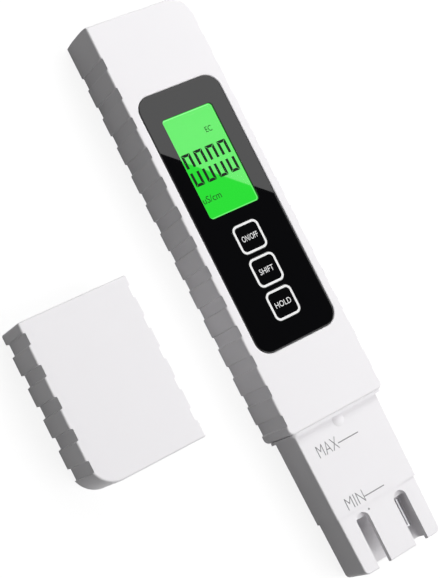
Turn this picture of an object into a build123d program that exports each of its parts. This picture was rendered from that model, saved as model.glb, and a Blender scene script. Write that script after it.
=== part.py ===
"""Pen-shaped water meter with its cap taken off, lying on its back beside it.

Units are millimetres. The origin is the centre of the case's flat back face.
+X runs across the case, +Y along it towards the blunt top end, and +Z out of
the face that carries the display and the keys. The sensor end points to -Y.
"""

from build123d import *
import os

os.makedirs("parts", exist_ok=True)

# Case: two moulded shells that part a little above the back
case_width = 30.0
case_length = 111.2
case_depth = 13.7
case_wall = 1.6
front_wall = 1.8
rear_wall = 1.4
split_height = 2.6
leaf_radius = 6.5
top_corner_radius = 0.3
shoulder_radius = 1.5
inner_corner_radius = 0.6
case_edge_radius = 0.5
rear_edge_radius = 0.15
end_crown = 0.45
lip_height = 1.2
lip_thickness = 0.7
fit_gap = 0.1

# Grip grooves, which run across both flanks from front to back
groove_start = 8.36
groove_pitch = 8.094
groove_width = 3.38
groove_depth = 0.5
groove_slope = 0.25
groove_end_land = 2.0

# Black display panel, let into the front
panel_side = 2.75
panel_from_top = 21.3
panel_from_shoulder = 19.9
panel_radius = 4.0
panel_thickness = 0.6
panel_inset = 0.1
panel_gap = 0.1
panel_edge_radius = 0.25
recess_edge_radius = 0.3

# Clear window in the panel and the display behind it
window_side = 4.6
window_from_panel_top = 6.95
window_above_key = 7.6
window_radius = 1.0
display_border = 1.1
display_ledge = 2.4
display_thickness = 2.0
display_gap = 0.2
connector_width = 1.4
light_guide_thickness = 2.0
led_width = 1.2
led_length = 2.0
led_height = 1.1
led_gap = 0.15
led_from_board_top = 7.6
led_pitch = 13.9

# Three keys under the window
key_names = ("power", "shift", "hold")
key_pitch = 9.1
last_key_from_panel_low = 9.9
key_width = 8.1
key_length = 8.0
key_radius = 1.75
key_gap = 0.15
key_edge_radius = 0.15
key_travel = 0.3
key_wing = 1.3
key_wing_thickness = 0.6
key_wing_gap = 0.15
key_stem_length = 0.35
plunger_diameter = 2.2
plunger_reach = 0.4
plunger_depth = 0.6
plunger_gap = 0.1
switch_size = 4.6

# Circuit board
board_thickness = 1.0
board_side_gap = 1.0
board_top_from_cells = 0.6
board_end_gap = 4.4
board_corner_radius = 1.0
screw_diameter = 1.5
screw_head_diameter = 3.0
screw_head_height = 0.9
screw_length = 3.4
screw_drive_width = 0.5
screw_drive_length = 1.8
screw_gap = 0.05
boss_diameter = 3.6
boss_inset = 1.1
boss_end_margin = 3.6
chip_size = 7.0
chip_height = 1.2
chip_pin_count = 7
chip_pin_pitch = 0.8
chip_pin_length = 1.0
chip_pin_width = 0.35
crystal_diameter = 2.0
crystal_length = 6.0
resistor_length = 1.6
resistor_width = 0.8
resistor_height = 0.5
resistor_count = 8
resistor_pitch = 2.2

# Two button cells in wells behind a sliding cover
cell_diameter = 11.6
cell_height = 5.4
cell_rim_radius = 0.5
cell_cap_diameter = 9.4
cell_cap_height = 0.5
cell_gap = 0.15
cell_floor_gap = 0.3
well_wall = 0.8
well_side = 4.6
well_height_share = 0.9
contact_width = 3.0
contact_thickness = 0.25
contact_run_gap = 0.35
contact_foot = 3.4
contact_tip = 1.6
link_thickness = 0.2
link_width = 5.0
cover_width = 16.0
cover_thickness = 1.3
cover_rail = 1.0
cover_rail_height = 0.5
cover_gap = 0.15
cover_inset = 0.1
cover_rib_count = 5
cover_rib_pitch = 1.8
cover_rib_width = 0.8
cover_rib_depth = 0.35
cover_rib_length = 9.0

# Sensor housing: collar, neck held in the case, tapered sleeve and narrower tip
collar_inset = 0.55
collar_thickness = 0.7
neck_step = 1.6
neck_wall = 1.3
neck_gap = 0.15
neck_corner_radius = 2.0
seal_thickness = 0.9
flange_thickness = 1.2
housing_side_inset = 1.75
housing_front_inset = 1.9
housing_back_inset = 1.2
housing_length = 23.3
housing_taper = 0.35
housing_radius = 0.4
housing_wall = 1.4
tip_length = 15.1
tip_side_step = 0.3
tip_depth_step = 0.35
tip_taper = 0.3
tip_corner_radius = 1.4
slot_width = 3.95
slot_from_edge = 6.2
slot_length = 14.0
catch_radius = 1.7
catch_height = 0.35
catch_from_collar = 1.3

# Electrodes in their block
block_length = 7.0
block_from_slot = 1.4
block_gap = 0.05
electrode_diameter = 1.3
electrode_from_edge = 4.7
electrode_reach = 7.6
electrode_tail = 1.5
electrode_boss_diameter = 2.4
electrode_boss_height = 0.9
probe_diameter = 2.0
probe_reach = 6.4
lead_diameter = 0.9
lead_bend = 0.8
lead_landing = 1.5
lead_slope_length = 3.0

# Cap, drawn where it lies: to the left of the case, open end towards the top
cap_length = 42.65
cap_front_step = 1.05
cap_gap = 0.12
cap_end_wall = 1.6
cap_groove_start = 2.55
cap_groove_depth = 0.8
cap_rest_x = -49.5
cap_rest_mouth_y = -3.4

# Levels that follow from the sizes above, counted up from the back
top_y = case_length / 2
shoulder_y = -case_length / 2
inside_width = case_width - 2 * case_wall
inside_front = case_depth - front_wall
inside_height = inside_front - rear_wall
inside_middle = (inside_front + rear_wall) / 2
panel_floor = case_depth - panel_inset - panel_thickness
panel_top_y = top_y - panel_from_top
panel_low_y = shoulder_y + panel_from_shoulder
panel_width = case_width - 2 * panel_side
panel_length = panel_top_y - panel_low_y
panel_middle_y = (panel_top_y + panel_low_y) / 2
key_y = [panel_low_y + last_key_from_panel_low + i * key_pitch for i in (2, 1, 0)]
window_width = panel_width - 2 * window_side
window_top_y = panel_top_y - window_from_panel_top
window_low_y = key_y[0] + window_above_key
window_length = window_top_y - window_low_y
window_middle_y = (window_top_y + window_low_y) / 2
display_width = window_width + 2 * display_border
display_top_y = window_top_y + display_border
display_low_y = window_low_y - display_ledge
display_length = display_top_y - display_low_y
display_middle_y = (display_top_y + display_low_y) / 2
display_back = panel_floor - display_thickness
board_front = display_back - light_guide_thickness
board_back = board_front - board_thickness
key_wing_top = inside_front - key_wing_gap
key_wing_bottom = key_wing_top - key_wing_thickness
key_foot = key_wing_bottom - key_stem_length
switch_top = key_foot - plunger_reach

cell_bottom = cover_inset + cover_thickness + link_thickness + cell_floor_gap
cell_top = cell_bottom + cell_height
well_radius = cell_diameter / 2 + cell_gap
cell_pitch = 2 * well_radius + well_wall
well_end_y = top_y - case_wall - fit_gap - lip_thickness
upper_cell_y = well_end_y - well_wall / 2 - well_radius
lower_cell_y = upper_cell_y - cell_pitch
well_low_y = lower_cell_y - well_radius - well_wall
cover_low_y = lower_cell_y - well_radius
well_width = cell_diameter + 2 * well_side
well_top = cell_bottom + well_height_share * cell_height

collar_width = case_width - 2 * collar_inset
collar_depth = case_depth - 2 * collar_inset
flange_width = inside_width - 2 * fit_gap
flange_depth = inside_height - 2 * fit_gap
neck_width = flange_width - 2 * neck_step
neck_depth = flange_depth - 2 * neck_step
seal_low_y = shoulder_y + case_wall
flange_low_y = seal_low_y + seal_thickness
flange_top_y = flange_low_y + flange_thickness
rib_low_y = flange_top_y + fit_gap
inside_rib = 1.2
board_low_y = flange_top_y + board_end_gap
board_top_y = well_low_y - board_top_from_cells

collar_end_y = shoulder_y - collar_thickness
housing_width = case_width - 2 * housing_side_inset
housing_depth = case_depth - housing_front_inset - housing_back_inset
housing_middle = housing_back_inset + housing_depth / 2
step_y = shoulder_y - housing_length
end_y = step_y - tip_length
step_width = housing_width - 2 * housing_taper
tip_width = step_width - 2 * tip_side_step
tip_depth = housing_depth - 2 * tip_depth_step
tip_end_width = tip_width - 2 * tip_taper
slot_top_y = end_y + slot_length
block_low_y = slot_top_y - block_from_slot
block_top_y = block_low_y + block_length
catch_y = collar_end_y - catch_from_collar

cap_depth = case_depth - cap_front_step
cavity_width = housing_width + 2 * cap_gap
cavity_depth = housing_depth + 2 * cap_gap


def leaf(inset=0.0, length=case_length, flipped=False):
    """Outline of the case or cap: one large corner, the others small."""
    half_width = case_width / 2 - inset
    half_length = length / 2 - inset
    top = half_length + (0 if inset or flipped else end_crown)
    small = inner_corner_radius if inset else top_corner_radius
    low = inner_corner_radius if inset else shoulder_radius
    corners = [
        (-half_width, -half_length),
        (half_width, -half_length),
        (half_width, top),
        (-half_width, top),
    ]
    radii = [low, low, leaf_radius - inset, small]
    if flipped:
        radii = [leaf_radius - inset, small, inner_corner_radius, inner_corner_radius]
    return make_face(FilletPolyline(*corners, radius=radii, close=True))


def slab(shape, low, high):
    """A flat outline raised from one level to another."""
    return extrude(Pos(0, 0, low) * shape, high - low)


def section(width, depth, radius, y, middle):
    """Rounded section across the meter, at a place along it."""
    return Plane.XZ.offset(-y) * Pos(0, middle) * RectangleRounded(width, depth, radius)


def bar(width, depth, radius, y_low, y_high, middle):
    """Straight bar of rounded section that runs along the meter."""
    return extrude(section(width, depth, radius, y_high, middle), y_high - y_low)


def block(x_low, x_high, y_low, y_high, z_low, z_high):
    """Rectangular space between three pairs of limits."""
    size = (x_high - x_low, y_high - y_low, z_high - z_low)
    middle = ((x_low + x_high) / 2, (y_low + y_high) / 2, (z_low + z_high) / 2)
    return Pos(*middle) * Box(*size)


def crowned(shell):
    """Trim the top end to a slight curve from back to front."""
    far = shoulder_y - case_wall
    curve = ThreePointArc((top_y, 0), (top_y + end_crown, case_depth / 2), (top_y, case_depth))
    rest = Polyline((top_y, case_depth), (far, case_depth), (far, 0), (top_y, 0))
    profile = make_face([curve, *rest.edges()])
    return shell & extrude(Plane.YZ * profile, case_width, both=True)


def grip_grooves(tops, height, depth=groove_depth):
    """Sloped grooves across both flanks, one pair below each of the given levels."""
    reach = case_width / 2 + depth
    cut = []
    for top in tops:
        profile = Polygon(
            (reach, top + groove_slope),
            (case_width / 2, top),
            (case_width / 2 - depth, top - groove_slope),
            (case_width / 2 - depth, top - groove_width + groove_slope),
            (case_width / 2, top - groove_width),
            (reach, top - groove_width - groove_slope),
            align=None,
        )
        groove = slab(profile, -depth, height + depth)
        cut += [groove, mirror(groove, about=Plane.YZ)]
    return cut


def case_groove_tops():
    """Upper edge of each groove on the case, as many as its length holds."""
    room = case_length - groove_start - groove_width - groove_end_land
    return [top_y - groove_start - i * groove_pitch for i in range(int(room / groove_pitch) + 1)]


def cap_groove_tops():
    """Upper edge of each groove on the cap, in the same rhythm as on the case."""
    room = cap_length - cap_groove_start - groove_width - groove_end_land
    count = int(room / groove_pitch) + 1
    return [cap_length / 2 - cap_groove_start - i * groove_pitch for i in range(count)]


def neck_opening():
    """Way through the end wall of both shells for the neck of the sensor housing."""
    width = neck_width + 2 * neck_gap
    depth = neck_depth + 2 * neck_gap
    outside = shoulder_y - case_wall
    return bar(width, depth, neck_corner_radius, outside, seal_low_y + fit_gap, inside_middle)


def retaining_rib(low, high):
    """Wall behind the flange of the neck, inside one of the shells."""
    half = inside_width / 2
    return block(-half, half, rib_low_y, rib_low_y + inside_rib, low, high)


def boss_places():
    """Where the circuit board is screwed to the front shell."""
    x = inside_width / 2 - boss_inset - boss_diameter / 2 + (boss_diameter - screw_head_diameter)
    low = board_low_y + boss_end_margin
    high = board_top_y - boss_end_margin
    return [(side * x, y) for side in (-1, 1) for y in (low, high)]


def key_outline(grow=0.0):
    """Rounded square of a key, or of the opening round it."""
    return RectangleRounded(key_width + 2 * grow, key_length + 2 * grow, key_radius + grow)


def front_case():
    shell = crowned(slab(leaf(), split_height, case_depth))
    shell = fillet(shell.edges().group_by(Axis.Z)[-1], case_edge_radius)
    shell -= slab(leaf(case_wall), split_height, inside_front)
    recess = RectangleRounded(
        panel_width + 2 * panel_gap, panel_length + 2 * panel_gap, panel_radius + panel_gap
    )
    shell -= slab(Pos(0, panel_middle_y) * recess, panel_floor, case_depth)
    rim = shell.faces().sort_by(Axis.Z)[-1].inner_wires()[0]
    shell = fillet(rim.edges(), recess_edge_radius)
    opening = Rectangle(display_width + 2 * display_gap, display_length + 2 * display_gap)
    shell -= slab(Pos(0, display_middle_y) * opening, inside_front, panel_floor)
    for y in key_y:
        shell -= slab(Pos(0, y) * key_outline(key_gap), inside_front, panel_floor)
    shell -= neck_opening()
    rib_bottom = inside_middle + neck_depth / 2 - neck_wall
    shell += retaining_rib(rib_bottom, inside_front)
    for x, y in boss_places():
        ring = Circle(boss_diameter / 2) - Circle(screw_diameter / 2 + screw_gap)
        shell += slab(Pos(x, y) * ring, board_front, inside_front)
    return shell - grip_grooves(case_groove_tops(), case_depth)


def cover_way(gap):
    """The T-shaped way of the battery cover through the rear shell, or the cover itself."""
    rail_low = cover_inset + cover_thickness - cover_rail_height
    half = cover_width / 2 + gap
    end = top_y + case_wall if gap else top_y
    top = cell_bottom if gap else cover_inset + cover_thickness
    low = -case_wall if gap else cover_inset
    plate = block(-half, half, cover_low_y - gap, end, low, top)
    wide = half + cover_rail
    return plate + block(-wide, wide, cover_low_y - gap, end, rail_low - gap, top)


def rear_case():
    shell = crowned(slab(leaf(), 0, split_height))
    shell = fillet(shell.edges().group_by(Axis.Z)[0], rear_edge_radius)
    shell -= slab(leaf(case_wall), rear_wall, split_height)
    ring = leaf(case_wall + fit_gap) - leaf(case_wall + fit_gap + lip_thickness)
    lip = slab(ring, rear_wall, split_height + lip_height)
    lip_low_y = rib_low_y + inside_rib
    half = case_width / 2
    shell += lip & block(-half, half, lip_low_y, top_y, 0, case_depth)
    shell -= neck_opening()
    rib_top = inside_middle - neck_depth / 2 + neck_wall
    shell += retaining_rib(rear_wall, rib_top)
    for i in range(1, 6):
        y = lip_low_y + i * (well_low_y - lip_low_y) / 6
        rib = Rectangle(inside_width - 2 * fit_gap, inside_rib)
        shell += slab(Pos(0, y) * rib, rear_wall, rear_wall + inside_rib)
    wells = block(-well_width / 2, well_width / 2, well_low_y, well_end_y, rear_wall, well_top)
    for y in (upper_cell_y, lower_cell_y):
        wells -= slab(Pos(0, y) * Circle(well_radius), rear_wall, well_top)
    shell += wells
    shell -= cover_way(cover_gap)
    return shell - grip_grooves(case_groove_tops(), split_height)


def battery_cover():
    cover = cover_way(0)
    for i in range(cover_rib_count):
        y = top_y - 2 * cover_rib_pitch - i * cover_rib_pitch
        ridge = SlotOverall(cover_rib_length, cover_rib_width)
        cover -= slab(Pos(0, y) * ridge, cover_inset, cover_inset + cover_rib_depth)
    return cover


def battery_link():
    """Strip on the inside of the cover that joins the two cells."""
    low = cover_inset + cover_thickness
    strip = Pos(0, (upper_cell_y + lower_cell_y) / 2) * Rot(0, 0, 90)
    return slab(strip * SlotOverall(cell_pitch + link_width, link_width), low, low + link_thickness)


def button_cell(y, turned):
    """Steel can with the smaller cap of its other pole, turned over where asked."""
    can_radius = cell_diameter / 2
    cap_radius = cell_cap_diameter / 2
    can_height = cell_height - cell_cap_height
    outline = FilletPolyline(
        (0, 0),
        (can_radius, 0),
        (can_radius, can_height),
        (cap_radius, can_height),
        (cap_radius, cell_height),
        (0, cell_height),
        radius=[cell_rim_radius, cell_rim_radius, 0, cell_cap_height / 2],
    )
    profile = make_face([*outline.edges(), Line((0, cell_height), (0, 0))])
    cell = revolve(Plane.XZ * profile, axis=Axis.Z)
    if turned:
        cell = Pos(0, 0, cell_height) * Rot(180, 0, 0) * cell
    return Pos(0, y, cell_bottom) * cell


def battery_contact(x, y):
    """Leaf spring from the board's edge to the middle of a cell."""
    half = contact_thickness / 2
    run = cell_top + contact_run_gap + half
    line = Polyline(
        (board_top_y - contact_foot, board_back - half),
        (board_top_y, board_back - half),
        (well_low_y + well_wall, run),
        (y - contact_tip, run),
        (y, cell_top + half),
        (y + contact_tip / 2, cell_top + half + contact_run_gap / 2),
    )
    strip = extrude(Plane.YZ * trace(line, contact_thickness), contact_width / 2, both=True)
    return Pos(x, 0, 0) * strip


def display_panel():
    plate = RectangleRounded(panel_width, panel_length, panel_radius)
    plate = Pos(0, panel_middle_y) * plate
    plate -= Pos(0, window_middle_y) * RectangleRounded(window_width, window_length, window_radius)
    for y in key_y:
        plate -= Pos(0, y) * key_outline(key_gap)
    panel = slab(plate, panel_floor, panel_floor + panel_thickness)
    outer_rim = panel.faces().sort_by(Axis.Z)[-1].outer_wire()
    return fillet(outer_rim.edges(), panel_edge_radius)


def display_window():
    pane = Pos(0, window_middle_y) * RectangleRounded(window_width, window_length, window_radius)
    return slab(pane, panel_floor, panel_floor + panel_thickness)


def display_glass():
    """Two sheets of glass, the rear one longer where its contacts lie."""
    rear = Pos(0, display_middle_y) * Rectangle(display_width, display_length)
    front_low = display_low_y + connector_width + display_gap
    front_middle = (display_top_y + front_low) / 2
    front = Pos(0, front_middle) * Rectangle(display_width, display_top_y - front_low)
    middle = panel_floor - display_thickness / 2
    return slab(rear, display_back, middle) + slab(front, middle, panel_floor)


def light_guide():
    low = display_low_y + connector_width + display_gap
    plate = RectangleRounded(display_width - display_gap, display_top_y - low, window_radius)
    return slab(Pos(0, (display_top_y + low) / 2) * plate, board_front, display_back)


def display_connector():
    """Elastic contact strip between the board and the longer sheet of glass."""
    low = display_low_y
    half = display_width / 2 - display_border
    return block(-half, half, low, low + connector_width, board_front, display_back)


def backlight_leds():
    """Lamps beside the light guide, as many as the display's length holds."""
    leds = []
    first_y = board_top_y - led_from_board_top
    room = first_y - led_length / 2 - display_low_y
    top = board_front + led_height
    x = (display_width - display_gap) / 2 + led_gap + led_width / 2
    for y in [first_y - i * led_pitch for i in range(int(room / led_pitch) + 1)]:
        body = slab(Pos(x, y) * Rectangle(led_width, led_length), board_front, top)
        lens = Pos(x - led_width / 2, y, board_front + led_height / 2) * Rot(0, 90, 0)
        leds.append(body - lens * Cylinder(led_height / 3, led_gap))
    return Compound(children=leds)


def circuit_board():
    width = inside_width - 2 * board_side_gap
    plate = RectangleRounded(width, board_top_y - board_low_y, board_corner_radius)
    plate = Pos(0, (board_top_y + board_low_y) / 2) * plate
    for x, y in boss_places():
        plate -= Pos(x, y) * Circle(screw_diameter / 2 + screw_gap)
    return slab(plate, board_back, board_front)


def board_screws():
    """Pan-head screws from behind, through the board into the bosses."""
    screws = []
    for x, y in boss_places():
        head = slab(Circle(screw_head_diameter / 2), -screw_head_height, 0)
        head = fillet(head.edges().group_by(Axis.Z)[0], screw_head_height / 3)
        drive = Pos(0, 0, -screw_head_height) * Box(screw_drive_length, screw_drive_width, screw_head_height)
        head -= [drive, Rot(0, 0, 90) * drive]
        shank = slab(Circle(screw_diameter / 2), 0, screw_length)
        screws.append(Pos(x, y, board_back) * (head + shank))
    return Compound(children=screws)


def switch_body(y):
    """Low square key switch with a blind bore for its plunger."""
    body = slab(Rectangle(switch_size, switch_size), board_front, switch_top)
    bore = Circle(plunger_diameter / 2 + plunger_gap)
    floor = switch_top - plunger_depth - key_travel
    return Pos(0, y, 0) * (body - slab(bore, floor, switch_top))


def switch_plunger(y):
    low = switch_top - plunger_depth + fit_gap
    return Pos(0, y, 0) * slab(Circle(plunger_diameter / 2), low, key_foot)


def key(y):
    """Key top with a wing on each side that stops it at the front wall, and a stem."""
    button = slab(key_outline(), key_wing_bottom, panel_floor + panel_thickness)
    button = fillet(button.edges().group_by(Axis.Z)[-1], key_edge_radius)
    reach = Rectangle(key_width + 2 * key_wing, key_length - 2 * key_radius)
    wings = slab(reach, key_wing_bottom, key_wing_top)
    stem = slab(Circle(plunger_diameter / 2), key_foot, key_wing_bottom)
    return Pos(0, y, 0) * (button + wings + stem)


def controller_chip():
    y = key_y[1]
    body = slab(Rectangle(chip_size, chip_size), -chip_height, 0)
    body = chamfer(body.edges().group_by(Axis.Z)[0], chip_height / 6)
    first = (chip_pin_count - 1) / 2
    pin = slab(Rectangle(chip_size + 2 * chip_pin_length, chip_pin_width), -chip_height / 3, 0)
    row = [Pos(0, (i - first) * chip_pin_pitch, 0) * pin for i in range(chip_pin_count)]
    chip = body + row + [Rot(0, 0, 90) * p for p in row]
    return Pos(0, y, board_back) * chip


def crystal_can():
    """Clock crystal in its round can, flat on the back of the board."""
    can = Cylinder(crystal_diameter / 2, crystal_length)
    can = fillet(can.edges(), crystal_diameter / 8)
    return Pos(chip_size, key_y[2], board_back - crystal_diameter / 2) * Rot(90, 0, 0) * can


def chip_resistors():
    x = -chip_size
    chips = []
    for i in range(resistor_count):
        y = key_y[0] - i * resistor_pitch
        outline = Pos(x, y) * Rectangle(resistor_length, resistor_width)
        chips.append(slab(outline, board_back - resistor_height, board_back))
    return Compound(children=chips)


def housing_loft(inset, from_y, to_y):
    """Straight-sided taper between two places on the sleeve, set in by a wall."""
    ends = []
    for y in (from_y, to_y):
        share = (shoulder_y - y) / housing_length
        width = housing_width - 2 * housing_taper * share - 2 * inset
        depth = housing_depth - 2 * inset
        ends.append(section(width, depth, housing_radius, y, housing_middle))
    return loft(ends, ruled=True)


def tip_hollow():
    """Inside of the narrower end of the sleeve."""
    ends = []
    depth = tip_depth - 2 * housing_wall
    for y, width in ((step_y, tip_width), (end_y, tip_end_width)):
        ends.append(section(width - 2 * housing_wall, depth, inner_corner_radius, y, housing_middle))
    return loft(ends, ruled=True)


def tip_form():
    """Outside of the narrower end, with round corners where it stops."""
    corners = [
        (-tip_width / 2, step_y),
        (-tip_end_width / 2, end_y),
        (tip_end_width / 2, end_y),
        (tip_width / 2, step_y),
    ]
    radii = [0, tip_corner_radius, tip_corner_radius, 0]
    outline = make_face(FilletPolyline(*corners, radius=radii, close=True))
    low = housing_middle - tip_depth / 2
    form = slab(outline, low, low + tip_depth)
    levels = form.edges().group_by(Axis.Z)
    rims = [e for e in levels[0] + levels[-1] if e.center().Y < step_y - housing_radius]
    return fillet(rims, housing_radius)


def slot_cutters():
    """Two round-topped slots through the front and back of the tip, open at its end."""
    cutters = []
    for side in (-1, 1):
        x = side * (tip_end_width / 2 - slot_from_edge)
        centre_y = slot_top_y - slot_width / 2
        outline = Pos(x, centre_y) * Circle(slot_width / 2)
        outline += Pos(x, (centre_y + end_y) / 2 - slot_width / 2) * Rectangle(
            slot_width, centre_y - end_y + slot_width
        )
        cutters.append(slab(outline, 0, case_depth))
    return cutters


def catch_dome(y, front):
    """Low dome that snaps into the cap."""
    ball = (catch_radius**2 + catch_height**2) / (2 * catch_height)
    return Pos(0, y, front + catch_height - ball) * Sphere(ball)


def sensor_housing():
    front = housing_back_inset + housing_depth
    sleeve = housing_loft(0, collar_end_y, step_y)
    catch = catch_dome(catch_y, front) & block(
        -catch_radius, catch_radius, catch_y - catch_radius, collar_end_y, front - housing_wall, case_depth
    )
    collar = bar(collar_width, collar_depth, shoulder_radius, collar_end_y, shoulder_y, case_depth / 2)
    neck = bar(neck_width, neck_depth, neck_corner_radius, shoulder_y, flange_top_y, inside_middle)
    flange = bar(flange_width, flange_depth, inner_corner_radius, flange_low_y, flange_top_y, inside_middle)
    solid = collar + neck + flange + sleeve + catch + tip_form()
    passage = bar(
        neck_width - 2 * neck_wall,
        neck_depth - 2 * neck_wall,
        neck_corner_radius / 2,
        collar_end_y - housing_wall,
        flange_top_y,
        inside_middle,
    )
    hollow = housing_loft(housing_wall, collar_end_y - housing_wall, step_y) + tip_hollow()
    return solid - passage - hollow - slot_cutters()


def neck_seal():
    """Rubber ring round the neck, between the end wall and the flange."""
    width = flange_width - neck_step
    depth = flange_depth - neck_step
    ring = bar(width, depth, neck_corner_radius, seal_low_y, flange_low_y, inside_middle)
    width = neck_width + fit_gap
    depth = neck_depth + fit_gap
    return ring - bar(width, depth, neck_corner_radius, seal_low_y, flange_low_y, inside_middle)


def electrode_places():
    x = tip_end_width / 2 - electrode_from_edge
    return {"left": -x, "right": x}


def electrode_block():
    """Plug that closes the sleeve above the slots and holds the electrodes."""
    plug = bar(
        tip_end_width - 2 * housing_wall,
        tip_depth - 2 * housing_wall - 2 * block_gap,
        housing_radius / 2,
        block_low_y,
        block_top_y,
        housing_middle,
    )
    for x in electrode_places().values():
        plug += rod(x, electrode_boss_diameter, block_low_y - electrode_boss_height, block_low_y)
    for x in electrode_places().values():
        plug -= rod(x, electrode_diameter, block_low_y - electrode_boss_height, block_top_y)
    return plug - rod(0, probe_diameter, block_low_y, block_top_y)


def rod(x, diameter, low, high):
    """Round rod along the meter, in the middle of the sleeve."""
    return extrude(Plane.XZ.offset(-high) * Pos(x, housing_middle) * Circle(diameter / 2), high - low)


def round_ended_rod(x, diameter, low, high):
    """Rod with a domed lower end."""
    straight = rod(x, diameter, low + diameter / 2, high)
    return straight + Pos(x, low + diameter / 2, housing_middle) * Sphere(diameter / 2)


def electrode(x):
    low = block_low_y - electrode_boss_height - electrode_reach
    return round_ended_rod(x, electrode_diameter, low, block_top_y + electrode_tail)


def temperature_probe():
    return round_ended_rod(0, probe_diameter, block_low_y - probe_reach, block_top_y + electrode_tail)


def sensor_leads():
    """Wires from the electrodes and the probe through the neck to the back of the board."""
    start = block_top_y + electrode_tail
    slope_y = board_low_y - lead_slope_length
    landing = board_low_y + lead_landing
    level = board_back - lead_diameter / 2
    leads = []
    for x in (*electrode_places().values(), 0):
        low_run = [(x, start, housing_middle), (x, slope_y, housing_middle)]
        route = FilletPolyline(*low_run, (x, board_low_y, level), (x, landing, level), radius=lead_bend)
        end = Plane.XZ.offset(-start) * Pos(x, housing_middle) * Circle(lead_diameter / 2)
        leads.append(sweep(end, path=route))
    return Compound(children=leads)


def cap():
    """Outer form in the leaf outline turned half round, with the cavity for the sleeve."""
    shell = slab(leaf(length=cap_length, flipped=True), 0, cap_depth)
    rims = shell.edges().group_by(Axis.Z)
    shell = fillet(rims[-1], case_edge_radius)
    shell = fillet(shell.edges().group_by(Axis.Z)[0], rear_edge_radius)
    shell -= grip_grooves(cap_groove_tops(), cap_depth, cap_groove_depth)
    mouth = cap_length / 2
    end = -mouth + cap_end_wall
    cavity = bar(cavity_width, cavity_depth, housing_radius, end, mouth, housing_middle)
    inner = leaf(cap_end_wall, cap_length + 2 * cap_end_wall, True)
    shell -= cavity & slab(Pos(0, cap_end_wall) * inner, 0, cap_depth)
    front = housing_back_inset + housing_depth + cap_gap
    shell -= catch_dome(mouth - catch_from_collar, front - cap_gap)
    return Pos(cap_rest_x, cap_rest_mouth_y - mouth, 0) * shell


nodes = {
    "front_case": front_case(),
    "rear_case": rear_case(),
    "battery_cover": battery_cover(),
    "battery_link": battery_link(),
    "upper_cell": button_cell(upper_cell_y, False),
    "lower_cell": button_cell(lower_cell_y, True),
    "upper_cell_contact": battery_contact(contact_width, upper_cell_y),
    "lower_cell_contact": battery_contact(-contact_width, lower_cell_y),
    "display_panel": display_panel(),
    "display_window": display_window(),
    "display_glass": display_glass(),
    "light_guide": light_guide(),
    "display_connector": display_connector(),
    "backlight_leds": backlight_leds(),
    "circuit_board": circuit_board(),
    "board_screws": board_screws(),
    "controller_chip": controller_chip(),
    "crystal_can": crystal_can(),
    "chip_resistors": chip_resistors(),
    "sensor_housing": sensor_housing(),
    "neck_seal": neck_seal(),
    "electrode_block": electrode_block(),
    "temperature_probe": temperature_probe(),
    "sensor_leads": sensor_leads(),
    "cap": cap(),
}
for name, y in zip(key_names, key_y):
    nodes[f"{name}_key"] = key(y)
    nodes[f"{name}_switch"] = switch_body(y)
    nodes[f"{name}_plunger"] = switch_plunger(y)
for side, x in electrode_places().items():
    nodes[f"{side}_electrode"] = electrode(x)

for name, shape in nodes.items():
    export_step(shape, f"parts/{name}.step")
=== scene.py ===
"""Looks of the pen-shaped water meter: finishes, printed and engraved marks, display digits and stage.

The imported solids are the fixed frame. Everything is in metres: +X across the case, +Y towards its
blunt top end, +Z out of the side with the display, and the back lies on the floor at zero.
"""

import math

import bmesh
import bpy
from bpy.props import FloatProperty, FloatVectorProperty, IntProperty, PointerProperty
from mathutils import Matrix, Vector


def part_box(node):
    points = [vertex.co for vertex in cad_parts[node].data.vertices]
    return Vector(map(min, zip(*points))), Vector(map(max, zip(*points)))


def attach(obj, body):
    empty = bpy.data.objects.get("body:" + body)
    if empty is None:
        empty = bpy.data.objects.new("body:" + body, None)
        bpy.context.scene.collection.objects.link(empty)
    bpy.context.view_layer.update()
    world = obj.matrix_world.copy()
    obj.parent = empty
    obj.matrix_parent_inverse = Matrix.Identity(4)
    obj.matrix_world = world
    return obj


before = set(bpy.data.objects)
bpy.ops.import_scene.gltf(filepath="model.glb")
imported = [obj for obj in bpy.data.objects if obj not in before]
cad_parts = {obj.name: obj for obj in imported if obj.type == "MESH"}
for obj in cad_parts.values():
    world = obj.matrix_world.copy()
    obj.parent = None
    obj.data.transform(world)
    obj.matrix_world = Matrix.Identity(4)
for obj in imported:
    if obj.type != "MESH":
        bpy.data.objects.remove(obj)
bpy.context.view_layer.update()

bl_info = {
    "name": "Water Meter Looks",
    "version": (1, 0, 0),
    "blender": (4, 5, 0),
    "location": "View3D > Sidebar > Water Meter",
    "description": "Finishes, prints and lights a pen-shaped water meter round its packed solids",
    "category": "Object",
}

MM = 0.001
KEY_WORDS = {"power": "ON/OFF", "shift": "SHIFT", "hold": "HOLD"}
INK_LIFT = 0.01 * MM
INK_THICKNESS = 0.015 * MM
LENGTHWISE = (1.0, 0.05, 1.0)
UPRIGHT = (1.0, 1.0, 0.05)
WINDOW_CORNER = 1.0 * MM
FILM_LIFT = 0.003 * MM
FILM_THICKNESS = 0.003 * MM


# Node arithmetic


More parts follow.
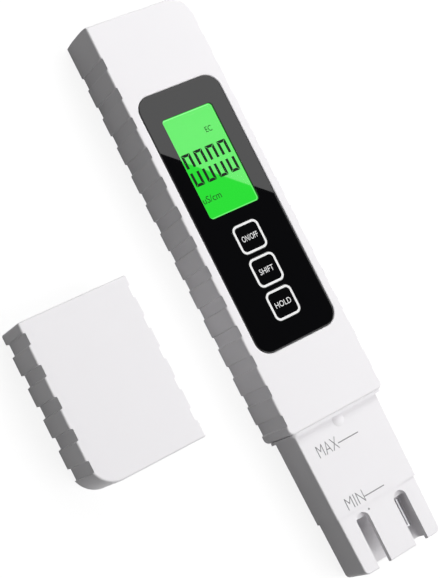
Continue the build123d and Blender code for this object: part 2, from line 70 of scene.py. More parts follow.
class Flow:
    """A socket of a node tree that reads like a number in an expression."""

    def __init__(self, tree, socket):
        self.tree = tree
        self.socket = socket

    def _math(self, operation, *values, clamp=False):
        node = self.tree.nodes.new("ShaderNodeMath")
        node.operation = operation
        node.use_clamp = clamp
        for place, value in enumerate(values):
            feed(self.tree, value, node.inputs[place])
        return Flow(self.tree, node.outputs[0])

    def __add__(self, other):
        return self._math("ADD", self, other)

    def __radd__(self, other):
        return self._math("ADD", other, self)

    def __sub__(self, other):
        return self._math("SUBTRACT", self, other)

    def __rsub__(self, other):
        return self._math("SUBTRACT", other, self)

    def __mul__(self, other):
        return self._math("MULTIPLY", self, other)

    def __rmul__(self, other):
        return self._math("MULTIPLY", other, self)

    def __truediv__(self, other):
        return self._math("DIVIDE", self, other)

    def __pow__(self, other):
        return self._math("POWER", self, other)

    def __abs__(self):
        return self._math("ABSOLUTE", self)

    def __lt__(self, other):
        return self._math("LESS_THAN", self, other)

    def __gt__(self, other):
        return self._math("GREATER_THAN", self, other)

    def most(self, other):
        return self._math("MAXIMUM", self, other)

    def least(self, other):
        return self._math("MINIMUM", self, other)

    def wave(self):
        return self._math("SINE", self)

    def saw(self):
        return self._math("FRACT", self)

    def root(self):
        return self._math("SQRT", self)

    def clipped(self):
        return self._math("ADD", self, 0.0, clamp=True)


def feed(tree, value, socket):
    """Link a flow to a socket, or set the socket to a plain value."""
    if isinstance(value, Flow):
        tree.links.new(value.socket, socket)
    else:
        socket.default_value = value


def rgba(colour):
    """A colour socket takes four numbers."""
    return (*colour[:3], 1.0)


class Finish:
    """A surface finish that is being put together from nodes."""

    def __init__(self, name, colour, roughness, **constants):
        self.material = bpy.data.materials.new(name)
        self.material.use_nodes = True
        self.tree = self.material.node_tree
        self.shader = self.tree.nodes["Principled BSDF"]
        self.set("Base Color", rgba(colour))
        self.set("Roughness", roughness)
        for socket, value in constants.items():
            self.set(socket.replace("_", " "), value)
        place = self.node("ShaderNodeTexCoord", output="Object")
        self.place = place
        self.x, self.y, self.z = (self.part_of(place, axis) for axis in "XYZ")

    def set(self, socket, value):
        feed(self.tree, value, self.shader.inputs[socket])

    def node(self, kind, settings=None, inputs=None, output=0):
        """Add a node: its settings first, then what its sockets get, and hand back one output."""
        made = self.tree.nodes.new(kind)
        for name, value in (settings or {}).items():
            setattr(made, name, value)
        for socket, value in (inputs or {}).items():
            feed(self.tree, value, made.inputs[socket])
        return Flow(self.tree, made.outputs[output])

    def part_of(self, vector, axis):
        return self.node("ShaderNodeSeparateXYZ", inputs={0: vector}, output=axis)

    def noise(self, scale, detail=2.0, stretch=None, roughness=0.5):
        """Smooth random pattern from 0 to 1; stretch scales it along each axis first."""
        place = self.place
        if stretch:
            place = self.node("ShaderNodeMapping", inputs={"Vector": place, "Scale": stretch})
        return self.node(
            "ShaderNodeTexNoise",
            inputs={"Vector": place, "Scale": scale, "Detail": detail, "Roughness": roughness},
            output="Fac",
        )

    def cells(self, scale, feature="F1", output="Distance"):
        return self.node(
            "ShaderNodeTexVoronoi", {"feature": feature}, {"Vector": self.place, "Scale": scale}, output
        )

    def blend(self, share, first, second):
        """Mix two colours; each is a flow or three numbers."""
        mix = self.tree.nodes.new("ShaderNodeMix")
        mix.data_type = "RGBA"
        feed(self.tree, share, mix.inputs[0])
        for value, socket in ((first, mix.inputs[6]), (second, mix.inputs[7])):
            feed(self.tree, value if isinstance(value, Flow) else rgba(value), socket)
        return Flow(self.tree, mix.outputs[2])

    def relief(self, height, depth):
        """Turn a 0 to 1 pattern into fine relief of that depth in metres."""
        bump = self.node("ShaderNodeBump", inputs={"Height": height, "Distance": depth, "Strength": 1.0})
        self.set("Normal", bump)

    def cover(self, *nodes):
        """Put the finish on CAD nodes, or on pieces made here."""
        for node in nodes:
            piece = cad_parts[node] if isinstance(node, str) else node
            piece.data.materials.clear()
            piece.data.materials.append(self.material)
        return self.material


def band(value, low, high, soft):
    """1 between two limits and 0 outside, with soft edges."""
    rise = ((value - low) / soft + 0.5).clipped()
    fall = ((high - value) / soft + 0.5).clipped()
    return rise * fall


def rounded_distance(finish, centre, size, radius):
    """Distance from a rounded rectangle's edge, below zero inside it."""
    across = abs(finish.x - centre[0]) - (size[0] / 2 - radius)
    along = abs(finish.y - centre[1]) - (size[1] / 2 - radius)
    outside = (across.most(0.0) ** 2 + along.most(0.0) ** 2).root()
    return outside + across.most(along).least(0.0) - radius


# Modelling helpers


def start_clean():
    """Leave edit mode and let go of everything, so that the next step acts on its own piece."""
    if bpy.context.object and bpy.context.object.mode != "OBJECT":
        bpy.ops.object.mode_set(mode="OBJECT")
    bpy.ops.object.select_all(action="DESELECT")


def edit(piece):
    start_clean()
    piece.select_set(True)
    bpy.context.view_layer.objects.active = piece
    bpy.ops.object.mode_set(mode="EDIT")
    bpy.ops.mesh.select_mode(type="FACE")
    bpy.ops.mesh.select_all(action="SELECT")


def pick_faces(piece, wanted):
    """Select the faces whose middle and normal pass a test."""
    bpy.ops.mesh.select_all(action="DESELECT")
    mesh = bmesh.from_edit_mesh(piece.data)
    for face in mesh.faces:
        face.select_set(wanted(face.calc_center_median(), face.normal))
    mesh.select_flush_mode()
    bmesh.update_edit_mesh(piece.data)


def finish_sheet(piece, thickness):
    """Raise a flat outline to its thickness and close it."""
    bpy.ops.mesh.select_all(action="SELECT")
    bpy.ops.mesh.extrude_region_move(TRANSFORM_OT_translate={"value": (0, 0, thickness)})
    bpy.ops.mesh.select_all(action="SELECT")
    bpy.ops.mesh.normals_make_consistent(inside=False)
    bpy.ops.object.mode_set(mode="OBJECT")
    settle(piece)


def settle(piece):
    """Move a piece's place, turn and size into its mesh."""
    start_clean()
    piece.select_set(True)
    bpy.context.view_layer.objects.active = piece
    bpy.ops.object.transform_apply(location=True, rotation=True, scale=True)


def add_sheet(name, centre, size):
    """A flat rectangle, open for editing."""
    start_clean()
    bpy.ops.mesh.primitive_plane_add(size=1, location=centre)
    sheet = bpy.context.object
    sheet.name = name
    sheet.data.name = name
    sheet.scale = (size[0], size[1], 1)
    bpy.ops.object.transform_apply(location=False, rotation=False, scale=True)
    edit(sheet)
    return sheet


def copy_of(piece, name, shift):
    """A copy with its own mesh, moved along the surface."""
    twin = piece.copy()
    twin.data = piece.data.copy()
    twin.name = name
    twin.data.name = name
    bpy.context.scene.collection.objects.link(twin)
    twin.data.transform(Matrix.Translation(shift))
    return twin


def joined(pieces, name):
    start_clean()
    for piece in pieces:
        piece.select_set(True)
    bpy.context.view_layer.objects.active = pieces[0]
    bpy.ops.object.join()
    pieces[0].name = name
    pieces[0].data.name = name
    return pieces[0]


def words(name, text, centre, size, thin=0.0):
    """Flat lettering, fitted to a width and a height and a little raised."""
    start_clean()
    bpy.ops.object.text_add(location=(0, 0, 0))
    line = bpy.context.object
    line.data.body = text
    line.data.align_x = "CENTER"
    line.data.align_y = "CENTER"
    line.data.offset = -thin
    line.data.resolution_u = 4
    bpy.ops.object.convert(target="MESH")
    line = bpy.context.object
    line.name = name
    line.data.name = name
    corners = [Vector(corner) for corner in line.bound_box]
    low = Vector(min(c[axis] for c in corners) for axis in range(3))
    high = Vector(max(c[axis] for c in corners) for axis in range(3))
    middle = (low + high) / 2
    grow = Matrix.Diagonal((size[0] / (high.x - low.x), size[1] / (high.y - low.y), 1, 1))
    line.data.transform(Matrix.Translation(centre) @ grow @ Matrix.Translation(-middle))
    edit(line)
    bpy.ops.mesh.remove_doubles(threshold=0.000001)
    finish_sheet(line, INK_THICKNESS)
    return line


def top_of(node):
    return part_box(node)[1].z


def middle_of(node):
    low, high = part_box(node)
    return (low + high) / 2


# Settings


class MeterColours(bpy.types.PropertyGroup):
    """Colours of the finishes."""

    white: FloatVectorProperty(
        name="White plastic", description="Case, cap and cover", subtype="COLOR",
        default=(0.90, 0.885, 0.905), min=0, max=1,
    )
    black: FloatVectorProperty(
        name="Panel black", description="Print behind the display panel and the keys", subtype="COLOR",
        default=(0.0022, 0.0022, 0.0028), min=0, max=1,
    )
    green: FloatVectorProperty(
        name="Display green", description="Light of the display behind its digits", subtype="COLOR",
        default=(0.019, 0.745, 0.033), min=0, max=1,
    )
    digit: FloatVectorProperty(
        name="Digit ink", description="Dark segments of the display", subtype="COLOR",
        default=(0.001, 0.006, 0.002), min=0, max=1,
    )
    small_word: FloatVectorProperty(
        name="Unit ink", description="Small thin words of the display", subtype="COLOR",
        default=(0.004, 0.07, 0.006), min=0, max=1,
    )
    label: FloatVectorProperty(
        name="Key print", description="Rings and words on the keys", subtype="COLOR",
        default=(0.90, 0.90, 0.90), min=0, max=1,
    )
    # Grey of the level marks: painted shade standing in for the shadow inside engraved grooves.
    mark: FloatVectorProperty(
        name="Level marks", description="Engraved lines on the sensor housing", subtype="COLOR",
        default=(0.23, 0.226, 0.234), min=0, max=1,
    )


class MeterSizes(bpy.types.PropertyGroup):
    """Sizes of the prints and the display's digits."""

    ring_width: FloatProperty(
        name="Ring width", description="Width of the line round each key",
        default=0.58 * MM, min=0.1 * MM, max=1.5 * MM, unit="LENGTH",
    )
    ring_corner: FloatProperty(
        name="Ring corner", description="Outer corner radius of the line round each key",
        default=1.6 * MM, min=0.5 * MM, max=3 * MM, unit="LENGTH",
    )
    ring_margin: FloatProperty(
        name="Ring margin", description="Distance from the key's edge to its ring",
        default=0.15 * MM, min=0.0, max=1 * MM, unit="LENGTH",
    )
    ring_extra: FloatProperty(
        name="Ring extra", description="How much wider than long the ring is",
        default=0.1 * MM, min=0.0, max=1 * MM, unit="LENGTH",
    )
    label_height: FloatProperty(
        name="Key word height", description="Height of the words on the keys",
        default=1.5 * MM, min=0.5 * MM, max=3 * MM, unit="LENGTH",
    )
    digit_count: IntProperty(
        name="Digits", description="Number of digits on the display", default=4, min=1, max=5,
    )
    digit_width: FloatProperty(
        name="Digit width", description="Width of one digit",
        default=2.75 * MM, min=1 * MM, max=4 * MM, unit="LENGTH",
    )
    digit_height: FloatProperty(
        name="Digit height", description="Height of one digit",
        default=8.8 * MM, min=3 * MM, max=12 * MM, unit="LENGTH",
    )
    digit_pitch: FloatProperty(
        name="Digit pitch", description="Distance from one digit to the next",
        default=3.64 * MM, min=1 * MM, max=5 * MM, unit="LENGTH",
    )
    digit_stroke: FloatProperty(
        name="Digit stroke", description="Width of one segment",
        default=0.84 * MM, min=0.2 * MM, max=1.2 * MM, unit="LENGTH",
    )
    mark_width: FloatProperty(
        name="Level line width", description="Width of the engraved level lines",
        default=0.26 * MM, min=0.05 * MM, max=1 * MM, unit="LENGTH",
    )


class MeterStudio(bpy.types.PropertyGroup):
    """Lamps, floor and camera."""

    softbox_strength: FloatProperty(
        name="Softbox", description="Brightness of the softbox that the panel mirrors",
        default=2.07, min=0.0, max=20.0,
    )
    fill_strength: FloatProperty(
        name="Fill", description="Brightness of the wide fill light", default=3.9, min=0.0, max=20.0,
    )
    back_strength: FloatProperty(
        name="Back light", description="Brightness of the light behind the top end",
        default=1.6, min=0.0, max=20.0,
    )
    ambient: FloatProperty(
        name="Ambient", description="Brightness of the room", default=0.12, min=0.0, max=5.0,
    )
    floor_shade: FloatProperty(
        name="Floor", description="How much light the floor sends back", default=0.2, min=0.0, max=1.0,
    )
    floor_glow: FloatProperty(
        name="Floor glow", description="What the camera sees of the floor's own light",
        default=0.87, min=0.0, max=1.0,
    )
    lens: FloatProperty(
        name="Lens", description="Focal length in millimetres", default=94.19, min=10.0, max=300.0,
    )


# Operators: finishes


class METER_OT_white_shells(bpy.types.Operator):
    """Give the two shells, the battery cover, the cap and the sensor housing their moulded white."""

    bl_idname = "meter.white_shells"
    bl_label = "White Shells"

    def execute(self, context):
        white = context.scene.meter_colours.white
        for name, nodes, shade in (
            ("case white", ("front_case",), 1.0),
            ("back white", ("rear_case", "battery_cover"), 0.995),
            ("cap white", ("cap",), 1.0),
            ("housing white", ("sensor_housing",), 0.985),
        ):
            finish = Finish(name, white, 0.5, Specular_IOR_Level=0.35)
            tone = finish.noise(45.0, 3.0)
            pale = [shade * part for part in white]
            dim = [0.975 * part for part in pale]
            finish.set("Base Color", finish.blend(tone, dim, pale))
            grain = finish.noise(6500.0, 3.0, roughness=0.6)
            finish.set("Roughness", 0.46 + 0.1 * grain)
            finish.relief(grain, 0.006 * MM)
            finish.cover(*nodes)
        return {"FINISHED"}


class METER_OT_black_panel(bpy.types.Operator):
    """Give the display panel and the keys their gloss over black print."""

    bl_idname = "meter.black_panel"
    bl_label = "Black Panel"

    def execute(self, context):
        black = context.scene.meter_colours.black
        keys = [f"{word}_key" for word in KEY_WORDS]
        for name, nodes in (("panel black", ["display_panel"]), ("key black", keys)):
            finish = Finish(name, black, 0.03, IOR=1.5)
            smear = finish.noise(140.0, 4.0, (1.0, 0.35, 1.0))
            sides = finish.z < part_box(nodes[0])[1].z - 0.02 * MM
            finish.set("Roughness", 0.005 + 0.012 * smear + 0.7 * sides)
            speck = finish.noise(2600.0, 2.0) > 0.74
            finish.set("Base Color", finish.blend(speck * 0.35, black, [2.2 * part for part in black]))
            finish.cover(*nodes)
        return {"FINISHED"}


class METER_OT_clear_window(bpy.types.Operator):
    """Give the window its clear plastic and the display behind it its lit green."""

    bl_idname = "meter.clear_window"
    bl_label = "Window and Display"

    def execute(self, context):
        green = context.scene.meter_colours.green
        window = Finish("clear window", (0.3, 0.5, 0.3), 0.02, IOR=1.5, Alpha=0.02)
        haze = window.noise(220.0, 3.0)
        window.set("Alpha", 0.015 + 0.01 * haze)
        window.cover("display_window")

        display = Finish("lit display", (0.002, 0.01, 0.002), 0.04, IOR=1.69, Emission_Strength=1.0)
        low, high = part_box("display_window")
        size = high - low
        centre = (low + high) / 2
        edge = rounded_distance(display, centre, size, WINDOW_CORNER)
        # A paler green band just inside the window's edge: a painted highlight ring along the display's rim.
        painted_highlight_rim = band(edge, -0.36 * MM, -0.1 * MM, 0.12 * MM)
        cloud = display.noise(60.0, 2.0)
        lit = display.blend(0.25 * cloud, green, [0.9 * part for part in green])
        pale = [part + 0.16 for part in green]
        display.set("Emission Color", display.blend(painted_highlight_rim, lit, pale))
        pixel = ((display.x * 9000.0).wave() * (display.y * 9000.0).wave()) * 0.5 + 0.5
        display.set("Roughness", 0.01 + 0.01 * pixel)
        display.cover("display_glass")
        film = add_sheet("display_film", (centre.x, centre.y, top_of("display_glass") + FILM_LIFT), size)
        bpy.ops.mesh.bevel(offset=WINDOW_CORNER, segments=8, affect="VERTICES")
        finish_sheet(film, FILM_THICKNESS)
        display.cover(film)
        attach(film, "meter")
        return {"FINISHED"}


class METER_OT_inner_parts(bpy.types.Operator):
    """Give the board, its parts, the cells and the other inner pieces their finishes."""

    bl_idname = "meter.inner_parts"
    bl_label = "Inner Parts"

    def execute(self, context):
        self.board()
        self.board_parts()
        self.lighting_parts()
        self.metal_parts()
        self.soft_parts()
        return {"FINISHED"}

    def board(self):
        finish = Finish("solder mask", (0.012, 0.11, 0.035), 0.32)
        cell = finish.cells(420.0, "DISTANCE_TO_EDGE")
        track = band(cell, 0.02, 0.09, 0.02)
        weave = (finish.x * 5200.0).wave() * (finish.y * 5200.0).wave() * 0.5 + 0.5
        mask = finish.blend(weave * 0.3, (0.012, 0.11, 0.035), (0.02, 0.15, 0.05))
        finish.set("Base Color", finish.blend(track, mask, (0.03, 0.26, 0.08)))
        finish.set("Roughness", 0.28 + 0.12 * weave)
        finish.relief(track, 0.02 * MM)
        finish.cover("circuit_board")

    def board_parts(self):
        low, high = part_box("controller_chip")
        centre = (low + high) / 2
        chip = Finish("chip epoxy", (0.02, 0.02, 0.022), 0.55)
        reach = abs(chip.x - centre.x).most(abs(chip.y - centre.y))
        pin = reach > 3.5 * MM
        grain = chip.noise(3500.0, 3.0)
        body = chip.blend(grain, (0.014, 0.014, 0.015), (0.03, 0.03, 0.032))
        chip.set("Base Color", chip.blend(pin, body, (0.7, 0.69, 0.66)))
        chip.set("Metallic", pin)
        chip.set("Roughness", 0.6 - 0.25 * pin)
        chip.relief(grain, 0.01 * MM)
        chip.cover("controller_chip")

        middle = middle_of("chip_resistors")
        resistor = Finish("resistor", (0.02, 0.02, 0.02), 0.4)
        end = abs(resistor.x - middle.x) > 0.5 * MM
        speck = resistor.noise(3000.0, 2.0)
        body = resistor.blend(speck, (0.012, 0.012, 0.014), (0.03, 0.03, 0.034))
        resistor.set("Base Color", resistor.blend(end, body, (0.72, 0.72, 0.7)))
        resistor.set("Metallic", end)
        resistor.set("Roughness", 0.3 + 0.2 * speck)
        resistor.cover("chip_resistors")

        switch = Finish("switch plastic", (0.03, 0.03, 0.034), 0.5)
        grain = switch.noise(2600.0, 3.0)
        switch.set("Base Color", switch.blend(grain, (0.02, 0.02, 0.022), (0.045, 0.045, 0.05)))
        switch.set("Roughness", 0.42 + 0.15 * grain)
        switch.relief(grain, 0.008 * MM)
        switch.cover(*(f"{word}_switch" for word in KEY_WORDS))

        plunger = Finish("plunger plastic", (0.35, 0.25, 0.16), 0.45)
        grain = plunger.noise(1800.0, 3.0)
        plunger.set("Base Color", plunger.blend(grain, (0.30, 0.21, 0.13), (0.38, 0.28, 0.18)))
        plunger.set("Roughness", 0.38 + 0.15 * grain)
        plunger.cover(*(f"{word}_plunger" for word in KEY_WORDS))

    def lighting_parts(self):
        guide = Finish("milky guide", (0.75, 0.9, 0.75), 0.35)
        dots = guide.cells(900.0)
        guide.set("Base Color", guide.blend((dots < 0.32) * 0.6, (0.62, 0.86, 0.62), (0.9, 0.95, 0.88)))
        guide.set("Roughness", 0.3 + 0.2 * guide.noise(900.0))
        guide.relief(dots < 0.32, 0.02 * MM)
        guide.cover("light_guide")

        low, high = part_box("display_connector")
        strip = Finish("striped rubber", (0.5, 0.3, 0.3), 0.7)
        stripe = (strip.x / (0.25 * MM)).saw() > 0.5
        side = abs(strip.y - (low.y + high.y) / 2) > 0.35 * MM
        layers = strip.blend(stripe, (0.03, 0.03, 0.03), (0.5, 0.25, 0.22))
        strip.set("Base Color", strip.blend(side, layers, (0.62, 0.5, 0.47)))
        strip.set("Roughness", 0.6 + 0.2 * strip.noise(2200.0))
        strip.cover("display_connector")

        lens_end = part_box("backlight_leds")[0].x + 0.2 * MM
        lamp = Finish("lamp package", (0.8, 0.82, 0.75), 0.4)
        lens = lamp.x < lens_end
        grain = lamp.noise(2500.0, 2.0)
        body = lamp.blend(grain, (0.72, 0.72, 0.68), (0.84, 0.84, 0.8))
        lamp.set("Base Color", lamp.blend(lens, body, (0.75, 0.9, 0.3)))
        lamp.set("Roughness", 0.35 + 0.15 * grain)
        lamp.cover("backlight_leds")

    def metal_parts(self):
        for name, nodes, tone, stretch in (
            ("cell steel", ("upper_cell", "lower_cell"), (0.72, 0.71, 0.69), None),
            ("spring steel", ("upper_cell_contact", "lower_cell_contact"), (0.66, 0.65, 0.62), LENGTHWISE),
            ("link steel", ("battery_link",), (0.68, 0.67, 0.64), LENGTHWISE),
            ("can steel", ("crystal_can",), (0.7, 0.7, 0.7), LENGTHWISE),
            ("screw steel", ("board_screws",), (0.58, 0.58, 0.6), None),
        ):
            finish = Finish(name, tone, 0.3, Metallic=1.0)
            brush = finish.noise(2800.0, 3.0, stretch or UPRIGHT)
            stain = finish.noise(160.0, 3.0)
            finish.set("Base Color", finish.blend(stain, [0.88 * part for part in tone], tone))
            finish.set("Roughness", 0.2 + 0.18 * brush)
            finish.relief(brush, 0.002 * MM)
            finish.cover(*nodes)

    def soft_parts(self):
        seal = Finish("seal rubber", (0.02, 0.02, 0.02), 0.75)
        grain = seal.noise(2500.0, 3.0)
        seal.set("Base Color", seal.blend(grain, (0.014, 0.014, 0.015), (0.035, 0.035, 0.035)))
        seal.set("Roughness", 0.65 + 0.2 * grain)
        seal.relief(grain, 0.01 * MM)
        seal.cover("neck_seal")

        lead = Finish("wire sleeves", (0.5, 0.03, 0.03), 0.45)
        left = lead.x < -3.0 * MM
        right = lead.x > 3.0 * MM
        colour = lead.blend(left, (0.6, 0.6, 0.58), (0.55, 0.03, 0.03))
        colour = lead.blend(right, colour, (0.02, 0.02, 0.022))
        lead.set("Base Color", colour)
        lead.set("Roughness", 0.38 + 0.15 * lead.noise(1500.0))
        lead.cover("sensor_leads")


class METER_OT_sensor_metal(bpy.types.Operator):
    """Give the electrodes and the probe their turned metal, and the block its white plastic."""

    bl_idname = "meter.sensor_metal"
    bl_label = "Sensor Parts"

    def execute(self, context):
        for name, nodes, tone in (
            ("electrode metal", ("left_electrode", "right_electrode"), (0.88, 0.88, 0.9)),
            ("probe metal", ("temperature_probe",), (0.7, 0.7, 0.71)),
        ):
            finish = Finish(name, tone, 0.3, Metallic=1.0)
            ring = (finish.y * 42000.0).wave() * 0.5 + 0.5
            cloud = finish.noise(500.0, 3.0)
            finish.set("Base Color", finish.blend(cloud, [0.86 * part for part in tone], tone))
            finish.set("Roughness", 0.16 + 0.08 * ring * cloud)
            finish.relief(ring, 0.0015 * MM)
            finish.cover(*nodes)

        white = context.scene.meter_colours.white
        block = Finish("block white", white, 0.5)
        grain = block.noise(3000.0, 3.0)
        dim, pale = ([share * part for part in white] for share in (0.86, 0.93))
        block.set("Base Color", block.blend(grain, dim, pale))
        block.set("Roughness", 0.45 + 0.12 * grain)
        block.relief(grain, 0.006 * MM)
        block.cover("electrode_block")
        return {"FINISHED"}


# Operators: pieces


class METER_OT_key_prints(bpy.types.Operator):
    """Print a ring and a word on each key."""

    bl_idname = "meter.key_prints"
    bl_label = "Key Prints"

    WORD_WIDTHS = {"power": 4.8, "shift": 4.3, "hold": 4.8}

    def execute(self, context):
        sizes = context.scene.meter_sizes
        ink = Finish("key print", context.scene.meter_colours.label, 0.35)
        grain = ink.noise(2400.0, 2.0)
        tone = context.scene.meter_colours.label
        ink.set("Base Color", ink.blend(grain, [0.95 * part for part in tone], tone))
        ink.set("Roughness", 0.3 + 0.12 * grain)
        for key, text in KEY_WORDS.items():
            low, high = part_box(f"{key}_key")
            centre = Vector(((low.x + high.x) / 2, (low.y + high.y) / 2, high.z + INK_LIFT))
            length = high.y - low.y - 2 * sizes.ring_margin
            width = length + sizes.ring_extra
            ring = add_sheet(f"{key}_ring", centre, (width, length))
            bpy.ops.mesh.bevel(offset=sizes.ring_corner, segments=10, affect="VERTICES")
            bpy.ops.mesh.select_all(action="SELECT")
            bpy.ops.mesh.inset(thickness=sizes.ring_width)
            bpy.ops.mesh.delete(type="FACE")
            finish_sheet(ring, INK_THICKNESS)
            size = (self.WORD_WIDTHS[key] * MM, sizes.label_height)
            label = words(f"{key}_word", text, centre, size)
            for piece in (ring, label):
                ink.cover(piece)
                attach(piece, f"{key}_key")
        return {"FINISHED"}


class METER_OT_display_digits(bpy.types.Operator):
    """Lay the segmented digits and the small words on the display."""

    bl_idname = "meter.display_digits"
    bl_label = "Display Digits"

    MIDDLE_Y = 13.2 * MM
    MIDDLE_BREAK = 1.1 * MM
    LEAN = -0.022
    SEGMENT_GAP = 0.05 * MM

    def execute(self, context):
        sizes = context.scene.meter_sizes
        colours = context.scene.meter_colours
        level = top_of("display_glass") + INK_LIFT
        first = self.digit(sizes, -(sizes.digit_count - 1) / 2 * sizes.digit_pitch - 0.1 * MM, level)
        digits = [first]
        for place in range(1, sizes.digit_count):
            digits.append(copy_of(first, "digit", (place * sizes.digit_pitch, 0, 0)))
        digits = joined(digits, "display_digits")
        dark = Finish("digit ink", colours.digit, 0.4, Specular_IOR_Level=0.1)
        paler = [1.6 * part for part in colours.digit]
        dark.set("Base Color", dark.blend(dark.noise(700.0), colours.digit, paler))
        dark.cover(digits)

        unit = words("unit_word", "uS/cm", (-4.3 * MM, 5.1 * MM, level), (5.5 * MM, 1.8 * MM))
        kind = words("kind_word", "EC", (3.75 * MM, 21.35 * MM, level), (1.9 * MM, 1.5 * MM))
        small = joined([unit, kind], "display_words")
        pale = Finish("unit ink", colours.small_word, 0.4, Specular_IOR_Level=0.1)
        paler = [1.3 * part for part in colours.small_word]
        pale.set("Base Color", pale.blend(pale.noise(700.0), colours.small_word, paler))
        pale.cover(small)
        for piece in (digits, small):
            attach(piece, "meter")
        return {"FINISHED"}

    def digit(self, sizes, x, level):
        """A nought: a ring of four mitred bars, parted at its corners and half-way up."""
        centre = Vector((x, self.MIDDLE_Y, level))
        nought = add_sheet("digit", centre, (sizes.digit_width, sizes.digit_height))
        bpy.ops.mesh.inset(thickness=sizes.digit_stroke)
        bpy.ops.mesh.delete(type="FACE")
        for side in (-1, 1):
            bpy.ops.mesh.select_all(action="SELECT")
            cut = centre + Vector((0, side * self.MIDDLE_BREAK / 2, 0))
            bpy.ops.mesh.bisect(plane_co=cut, plane_no=(0, 1, 0))
        pick_faces(nought, lambda middle, normal: abs(middle.y) < self.MIDDLE_BREAK / 2)
        bpy.ops.mesh.delete(type="FACE")
        bpy.ops.mesh.select_all(action="SELECT")
        bpy.ops.mesh.inset(thickness=self.SEGMENT_GAP, use_individual=True)
        bpy.ops.mesh.select_all(action="INVERT")
        bpy.ops.mesh.delete(type="FACE")
        mesh = bmesh.from_edit_mesh(nought.data)
        for vertex in mesh.verts:
            vertex.co.x += self.LEAN * vertex.co.y
        bmesh.update_edit_mesh(nought.data)
        finish_sheet(nought, INK_THICKNESS)
        return nought


class METER_OT_level_marks(bpy.types.Operator):
    """Mark the highest and lowest water level on the sensor housing; their grey is painted shade standing in
    for the shadow in engraved grooves.
    """

    bl_idname = "meter.level_marks"
    bl_label = "Level Marks"

    FRONT = 11.8 * MM + INK_LIFT
    DOT_PLACE = (-3.4 * MM, -80.3 * MM, 11.45 * MM + INK_LIFT)
    DOT_RADIUS = 0.25 * MM
    # Name, word, the word's centre and size, and the line's two ends and place along the housing, in mm
    LEVELS = (
        ("upper", "MAX", (-6.2, -62.25), (6.3, 3.1), (-3.0, 3.5, -62.6)),
        ("lower", "MIN", (-5.95, -76.7), (5.6, 3.0), (-3.1, 3.3, -77.1)),
    )

    def execute(self, context):
        width = context.scene.meter_sizes.mark_width
        pieces = []
        for name, text, centre, size, line in self.LEVELS:
            place = Vector((centre[0] * MM, centre[1] * MM, self.FRONT))
            pieces.append(words(f"{name}_word", text, place, (size[0] * MM, size[1] * MM), 0.018))
            middle = Vector(((line[0] + line[1]) / 2 * MM, line[2] * MM, self.FRONT))
            rule = add_sheet(f"{name}_line", middle, ((line[1] - line[0]) * MM, width))
            bpy.ops.mesh.bevel(offset=0.08 * MM, segments=3, affect="VERTICES")
            finish_sheet(rule, INK_THICKNESS)
            pieces.append(rule)
        start_clean()
        bpy.ops.mesh.primitive_circle_add(
            vertices=24, radius=self.DOT_RADIUS, fill_type="NGON", location=self.DOT_PLACE
        )
        dot = bpy.context.object
        edit(dot)
        finish_sheet(dot, INK_THICKNESS)
        pieces.append(dot)
        marks = joined(pieces, "level_marks")
        # The grey is painted shade for engraved grooves, mottled at random.
        tone = context.scene.meter_colours.mark
        ink = Finish("level marks", tone, 0.5)
        groove_shade_mottle = ink.noise(1200.0, 3.0)
        ink.set("Base Color", ink.blend(groove_shade_mottle, [0.85 * part for part in tone], [1.2 * part for part in tone]))
        ink.set("Roughness", 0.45 + 0.15 * groove_shade_mottle)
        ink.cover(marks)
        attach(marks, "meter")
        return {"FINISHED"}


# Operator: stage


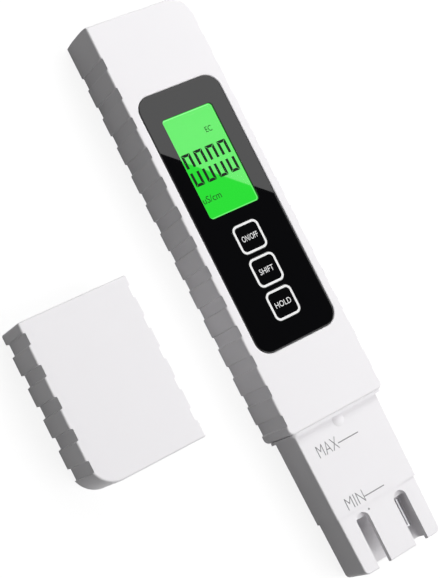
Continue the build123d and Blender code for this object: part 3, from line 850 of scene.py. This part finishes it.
class METER_OT_stage(bpy.types.Operator):
    """Lay the floor, hang the lamps and place the camera."""

    bl_idname = "meter.stage"
    bl_label = "Stage"

    SOFTBOX_HEIGHT = 0.6136
    SOFTBOX_EDGE = ((0.3183, 0.1196), (0.3880, 0.0614))
    SOFTBOX_SIZE = (1.6, 1.2)
    FILL_PLACE = (0.45, -0.65, 1.0)
    FILL_SIZE = (0.9, 0.9)
    BACK_PLACE = (0.45, 1.1, 0.6)
    BACK_SIZE = (0.8, 0.6)
    CAMERA_PLACE = (-0.18921, -0.03285, 0.33463)
    CAMERA_RIGHT = (0.79406, -0.44899, 0.40974)
    CAMERA_UP = (0.37503, 0.89237, 0.25106)
    CAMERA_BACK = (-0.47836, -0.04569, 0.87697)
    SENSOR_WIDTH = 36.0

    def execute(self, context):
        studio = context.scene.meter_studio
        self.floor(studio)
        self.room(context, studio)
        self.lamps(studio)
        self.camera(context, studio)
        context.scene.view_settings.view_transform = "Standard"
        return {"FINISHED"}

    def floor(self, studio):
        floor = add_sheet("floor", (0, 0, -0.02 * MM), (6.0, 6.0))
        bpy.ops.mesh.subdivide(number_cuts=3)
        bpy.ops.object.mode_set(mode="OBJECT")
        settle(floor)
        shade = (studio.floor_shade,) * 3
        finish = Finish("floor", shade, 0.9, Specular_IOR_Level=0.0, Emission_Strength=1.0)
        glow = finish.blend(self.seen(finish), (0.0, 0.0, 0.0), (studio.floor_glow,) * 3)
        finish.set("Emission Color", glow)
        finish.cover(floor)

    def seen(self, finish):
        """1 for rays that show the floor or the room itself, 0 for those that light by it."""
        rays = [
            finish.node("ShaderNodeLightPath", output=kind)
            for kind in ("Is Camera Ray", "Is Glossy Ray", "Is Transmission Ray")
        ]
        return rays[0].most(rays[1]).most(rays[2])

    def room(self, context, studio):
        """White to the camera, dark to gloss where the panel mirrors it, low and even to the rest."""
        world = bpy.data.worlds.new("room")
        context.scene.world = world
        world.use_nodes = True
        tree = world.node_tree
        tree.nodes.clear()

        def node(kind, output, **inputs):
            made = tree.nodes.new(kind)
            for socket, value in inputs.items():
                feed(tree, value, made.inputs[socket.replace("_", " ")])
            return Flow(tree, made.outputs[output])

        camera = node("ShaderNodeLightPath", "Is Camera Ray")
        gloss = node("ShaderNodeLightPath", "Is Glossy Ray")
        through = node("ShaderNodeLightPath", "Is Transmission Ray")
        direction = node("ShaderNodeTexCoord", "Generated")
        height = node("ShaderNodeSeparateXYZ", "Z", Vector=direction)
        across = node("ShaderNodeSeparateXYZ", "X", Vector=direction)
        low_sky = (1.0 - (height - 0.45) / 0.25).clipped()
        left_sky = ((0.3 - across) / 0.1).clipped()
        mirrored = gloss * (0.03 + 0.97 * low_sky.most(left_sky))
        shown = camera.most(through).most(mirrored)
        other = (1.0 - camera.most(gloss).most(through)) * studio.ambient
        light = node("ShaderNodeBackground", "Background", Color=(1, 1, 1, 1), Strength=shown + other)
        out = tree.nodes.new("ShaderNodeOutputWorld")
        tree.links.new(light.socket, out.inputs["Surface"])

    def lamp(self, name, centre, size, strength, turn):
        data = bpy.data.lights.new(name, "AREA")
        data.shape = "RECTANGLE"
        data.size, data.size_y = size
        data.energy = strength * math.pi * size[0] * size[1]
        lamp = bpy.data.objects.new(name, data)
        bpy.context.scene.collection.objects.link(lamp)
        lamp.location = centre
        lamp.rotation_euler = turn
        lamp.visible_camera = False
        return lamp

    def lamps(self, studio):
        """The panel mirrors the softbox's near edge; the other two light the fronts from both ends."""
        start, end = (Vector(point) for point in self.SOFTBOX_EDGE)
        along = (end - start).normalized()
        away = Vector((-along.y, along.x))
        if away.x < 0:
            away = -away
        size = self.SOFTBOX_SIZE
        centre = (start + end) / 2 + away * size[1] / 2
        turn = (0, 0, math.atan2(along.y, along.x))
        self.lamp("softbox", (*centre, self.SOFTBOX_HEIGHT), size, studio.softbox_strength, turn)
        fill = self.lamp("fill", self.FILL_PLACE, self.FILL_SIZE, studio.fill_strength, (0, 0, 0))
        back = self.lamp("back light", self.BACK_PLACE, self.BACK_SIZE, studio.back_strength, (0, 0, 0))
        for light in (fill, back):
            light.rotation_euler = Vector(light.location).to_track_quat("Z", "Y").to_euler()

    def camera(self, context, studio):
        data = bpy.data.cameras.new("camera")
        camera = bpy.data.objects.new("camera", data)
        context.scene.collection.objects.link(camera)
        camera.location = self.CAMERA_PLACE
        axes = Matrix((self.CAMERA_RIGHT, self.CAMERA_UP, self.CAMERA_BACK))
        camera.rotation_euler = axes.transposed().to_euler()
        data.lens = studio.lens
        data.sensor_width = self.SENSOR_WIDTH
        data.clip_start = 0.01
        data.clip_end = 20.0
        context.scene.camera = camera


class METER_PT_looks(bpy.types.Panel):
    """The steps that dress the meter, in order."""

    bl_idname = "METER_PT_looks"
    bl_label = "Water Meter"
    bl_space_type = "VIEW_3D"
    bl_region_type = "UI"
    bl_category = "Water Meter"

    def draw(self, context):
        for step in STEPS:
            self.layout.operator(step.bl_idname)
        for group in ("meter_colours", "meter_sizes", "meter_studio"):
            settings = getattr(context.scene, group)
            column = self.layout.column()
            for name in settings.__annotations__:
                column.prop(settings, name)


STEPS = (
    METER_OT_white_shells,
    METER_OT_black_panel,
    METER_OT_clear_window,
    METER_OT_inner_parts,
    METER_OT_sensor_metal,
    METER_OT_key_prints,
    METER_OT_display_digits,
    METER_OT_level_marks,
    METER_OT_stage,
)
GROUPS = {"meter_colours": MeterColours, "meter_sizes": MeterSizes, "meter_studio": MeterStudio}


def register():
    for group in GROUPS.values():
        bpy.utils.register_class(group)
    for name, group in GROUPS.items():
        setattr(bpy.types.Scene, name, PointerProperty(type=group))
    for step in STEPS:
        bpy.utils.register_class(step)
    bpy.utils.register_class(METER_PT_looks)


def unregister():
    bpy.utils.unregister_class(METER_PT_looks)
    for step in reversed(STEPS):
        bpy.utils.unregister_class(step)
    for name, group in GROUPS.items():
        delattr(bpy.types.Scene, name)
        bpy.utils.unregister_class(group)


def main():
    register()
    bpy.ops.meter.white_shells()
    bpy.ops.meter.black_panel()
    bpy.ops.meter.clear_window()
    bpy.ops.meter.inner_parts()
    bpy.ops.meter.sensor_metal()
    bpy.ops.meter.key_prints()
    bpy.ops.meter.display_digits()
    bpy.ops.meter.level_marks()
    bpy.ops.meter.stage()


if __name__ == "__main__":
    main()
